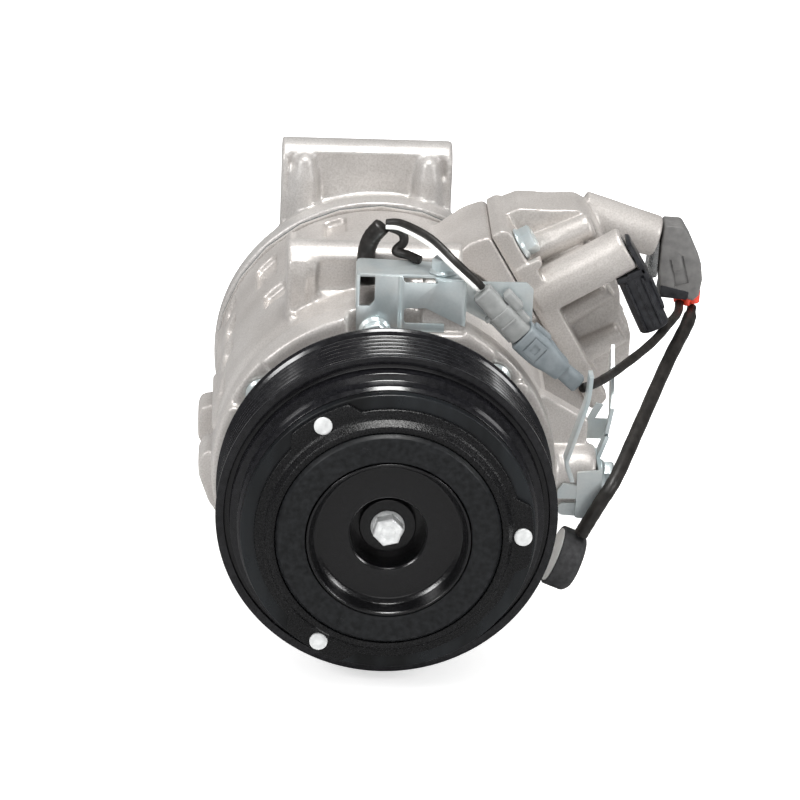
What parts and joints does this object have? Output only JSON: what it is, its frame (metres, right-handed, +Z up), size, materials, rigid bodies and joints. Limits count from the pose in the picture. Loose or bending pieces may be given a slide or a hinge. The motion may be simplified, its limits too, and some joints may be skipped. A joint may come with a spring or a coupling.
{
  "type": "automotive air conditioning compressor",
  "caption": "Belt-driven piston compressor with an electromagnetic clutch pulley, upper mounting ears, a tilted port block with control valve, and its wiring and brackets.",
  "frame": {"origin": "centre of the flat pad on the rear housing, on the shaft axis", "axes": "+Y runs along the shaft from the clutch to the rear pad, +Z up through the mounting ears, +X towards the port block"},
  "size_m": [0.1972, 0.2345, 0.1573],
  "materials": {
    "cast_aluminium": "sand-cast, bead blasted",
    "black_metal": "glossy black coating",
    "black_texture": "textured black coating",
    "rubber": "satin",
    "steel": "ground",
    "zinc": "bright zinc plating",
    "light_grey_plastic": "matte",
    "blue_grey_plastic": "matte",
    "dark_grey_plastic": "matte",
    "black_plastic": "satin moulded",
    "cable_black": "matte sheath",
    "wire_white": "matte insulation",
    "copper_enamel": "enamelled copper winding",
    "gasket": "coated gasket sheet"
  },
  "bodies": {
    "housing": {"front_housing": "cast_aluminium", "cylinder_block": "cast_aluminium", "rear_housing": "cast_aluminium", "port_block": "cast_aluminium", "head_gasket": "gasket", "valve_plate": "steel", "through_bolt_1": "zinc", "through_bolt_2": "zinc", "through_bolt_3": "zinc", "through_bolt_4": "zinc", "through_bolt_5": "zinc", "through_bolt_6": "zinc", "through_bolt_7": "zinc", "port_block_bolt_1": "zinc", "port_block_bolt_2": "zinc", "pulley_bearing_inner_race": "steel", "field_coil": "copper_enamel", "shaft_seal": "rubber", "front_shaft_bearing": "steel", "rear_shaft_bearing": "steel", "thrust_bearing": "steel", "swash_return_spring": "steel", "control_valve_body": "steel", "valve_connector": "black_plastic", "sensor_plug": "dark_grey_plastic", "wire_bracket": "zinc", "wire_bracket_bolt": "zinc", "coil_lead_sleeve": "cable_black", "coil_wire_black": "cable_black", "coil_wire_white": "wire_white", "ground_wire": "cable_black", "clutch_connector_plug": "light_grey_plastic", "clutch_connector_socket": "blue_grey_plastic", "cable_a": "cable_black", "cable_b": "cable_black", "round_plug": "black_plastic", "side_bracket": "zinc", "side_bracket_bolt": "zinc", "harness_strip": "zinc"},
    "pulley": {"pulley": "black_metal", "pulley_bearing_outer_race": "steel"},
    "shaft": {"drive_shaft": "steel", "clutch_hub": "black_texture", "hub_bolt": "steel", "hub_rubber_damper": "rubber", "lug_plate": "steel"},
    "armature": {"armature_plate": "black_metal", "hub_outer_plate": "black_texture", "armature_rivet_1": "steel", "armature_rivet_2": "steel", "armature_rivet_3": "steel"},
    "swash": {"swash_plate": "steel"},
    "piston_1_body": {"piston_1": "steel"},
    "piston_2_body": {"piston_2": "steel"},
    "piston_3_body": {"piston_3": "steel"},
    "piston_4_body": {"piston_4": "steel"},
    "piston_5_body": {"piston_5": "steel"},
    "piston_6_body": {"piston_6": "steel"},
    "piston_7_body": {"piston_7": "steel"},
    "valve_plunger": {"control_valve_plunger": "steel"}
  },
  "joints": [
    {"name": "pulley_spin", "type": "hinge", "parent": "housing", "child": "pulley", "pos_m": [0, -0.1975, 0], "axis": [0, 1, 0], "continuous": true},
    {"name": "shaft_spin", "type": "hinge", "parent": "housing", "child": "shaft", "pos_m": [0, -0.212, 0], "axis": [0, 1, 0], "continuous": true},
    {"name": "armature_pull_in", "type": "slide", "parent": "shaft", "child": "armature", "axis": [0, 1, 0], "range_m": [0, 0.00035]},
    {"name": "swash_tilt", "type": "hinge", "parent": "housing", "child": "swash", "pos_m": [0, -0.11, 0.041], "axis": [-1, 0, 0], "range_deg": [0, 19]},
    {"name": "piston_1_stroke", "type": "slide", "parent": "housing", "child": "piston_1_body", "axis": [0, -1, 0], "range_m": [0, 0.000968]},
    {"name": "piston_2_stroke", "type": "slide", "parent": "housing", "child": "piston_2_body", "axis": [0, -1, 0], "range_m": [0, 0.00215]},
    {"name": "piston_3_stroke", "type": "slide", "parent": "housing", "child": "piston_3_body", "axis": [0, -1, 0], "range_m": [0, 0.01241]},
    {"name": "piston_4_stroke", "type": "slide", "parent": "housing", "child": "piston_4_body", "axis": [0, -1, 0], "range_m": [0, 0.02404]},
    {"name": "piston_5_stroke", "type": "slide", "parent": "housing", "child": "piston_5_body", "axis": [0, -1, 0], "range_m": [0, 0.02827]},
    {"name": "piston_6_stroke", "type": "slide", "parent": "housing", "child": "piston_6_body", "axis": [0, -1, 0], "range_m": [0, 0.02192]},
    {"name": "piston_7_stroke", "type": "slide", "parent": "housing", "child": "piston_7_body", "axis": [0, -1, 0], "range_m": [0, 0.00977]},
    {"name": "plunger_travel", "type": "slide", "parent": "housing", "child": "valve_plunger", "axis": [0.8572, 0, 0.515], "range_m": [0, 0.003]}
  ],
  "couplings": [
    {"joint": "piston_1_stroke", "follows": "swash_tilt", "m_per_rad": 0.002618},
    {"joint": "piston_2_stroke", "follows": "swash_tilt", "m_per_rad": 0.006168},
    {"joint": "piston_3_stroke", "follows": "swash_tilt", "m_per_rad": 0.037131},
    {"joint": "piston_4_stroke", "follows": "swash_tilt", "m_per_rad": 0.072191},
    {"joint": "piston_5_stroke", "follows": "swash_tilt", "m_per_rad": 0.084947},
    {"joint": "piston_6_stroke", "follows": "swash_tilt", "m_per_rad": 0.065794},
    {"joint": "piston_7_stroke", "follows": "swash_tilt", "m_per_rad": 0.029154}
  ]
}
